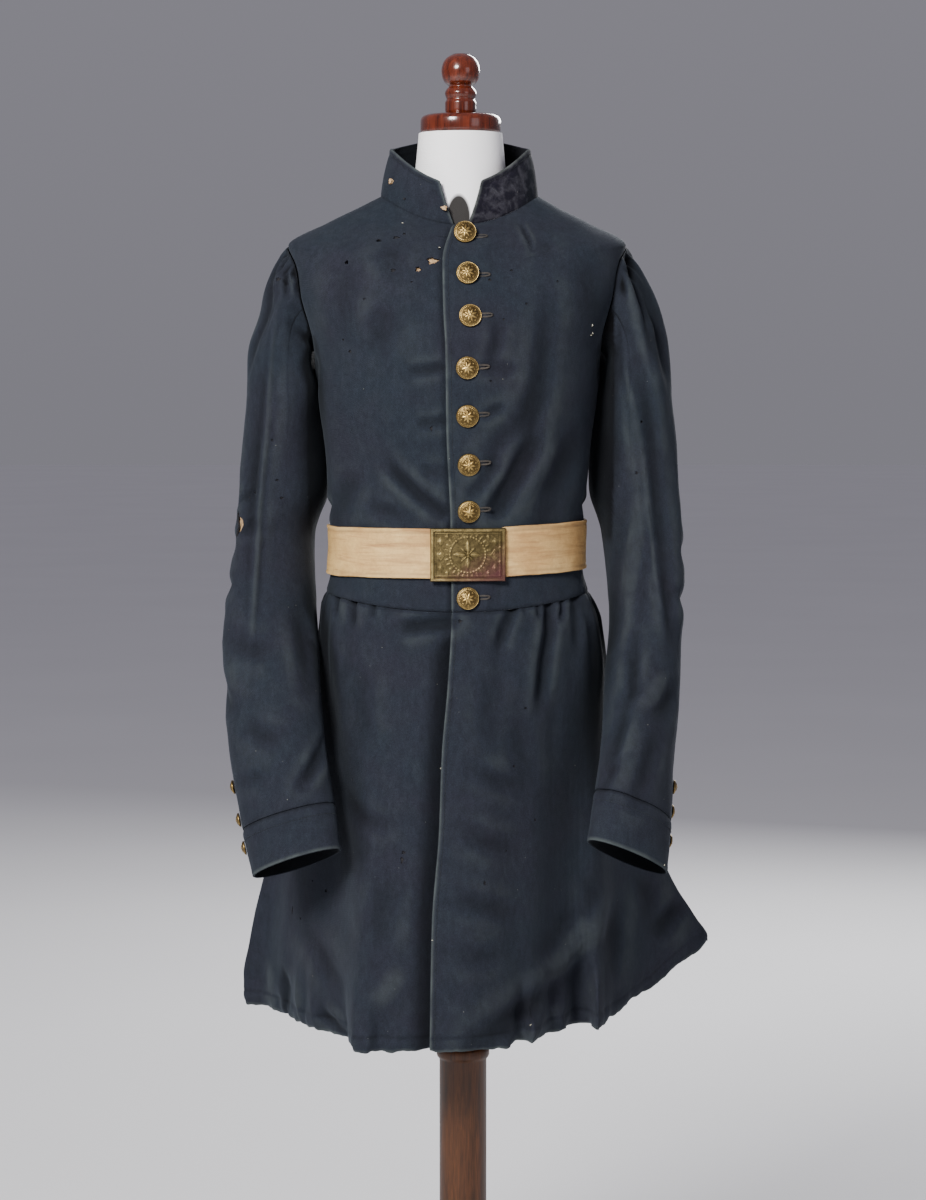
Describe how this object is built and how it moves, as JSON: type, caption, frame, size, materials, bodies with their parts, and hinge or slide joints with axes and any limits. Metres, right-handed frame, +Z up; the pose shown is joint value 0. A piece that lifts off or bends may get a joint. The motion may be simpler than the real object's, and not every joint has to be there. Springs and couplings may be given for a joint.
{
  "type": "frock coat on a dress form stand",
  "caption": "Dark wool frock coat with standing collar, gathered skirt, metal buttons and a buff belt with a cast plate, on a limbless dress form with pole and round base.",
  "frame": {"origin": "centre of the stand's base, on the floor", "axes": "+Z up, -Y toward the coat's front, +X to the right as seen from the front"},
  "size_m": [0.5252, 0.3978, 1.518],
  "materials": {
    "wool": "dark slate wool broadcloth, worn nap",
    "lining": "tan cotton lining",
    "buff": "stained cream buff",
    "brass": "worn gilt",
    "old_brass": "tarnished cast brass",
    "white_cotton": "plain white cover",
    "mahogany": "glossy turned wood",
    "brown_wood": "satin turned wood"
  },
  "bodies": {
    "root": {"back_left": "wool", "back_right": "wool", "base": "brown_wood", "belt_plate": "old_brass", "belt_strap": "buff", "collar_left": "wool", "collar_right": "wool", "cuff_button_left_1": "brass", "cuff_button_left_2": "brass", "cuff_button_left_3": "brass", "cuff_button_right_1": "brass", "cuff_button_right_2": "brass", "cuff_button_right_3": "brass", "cuff_left": "wool", "cuff_right": "wool", "dress_form": "white_cotton", "finial": "mahogany", "front_button_1": "brass", "front_button_2": "brass", "front_button_3": "brass", "front_button_4": "brass", "front_button_5": "brass", "front_button_6": "brass", "front_button_7": "brass", "front_button_8": "brass", "front_left": "wool", "front_right": "wool", "lining_chest": "lining", "lining_elbow": "lining", "neck_cap": "mahogany", "pole": "brown_wood", "side_body_left": "wool", "side_body_right": "wool", "skirt_left": "wool", "skirt_right": "wool", "tail_left": "wool", "tail_right": "wool", "top_sleeve_left": "wool", "top_sleeve_right": "wool", "under_sleeve_left": "wool", "under_sleeve_right": "wool"}
  },
  "joints": []
}
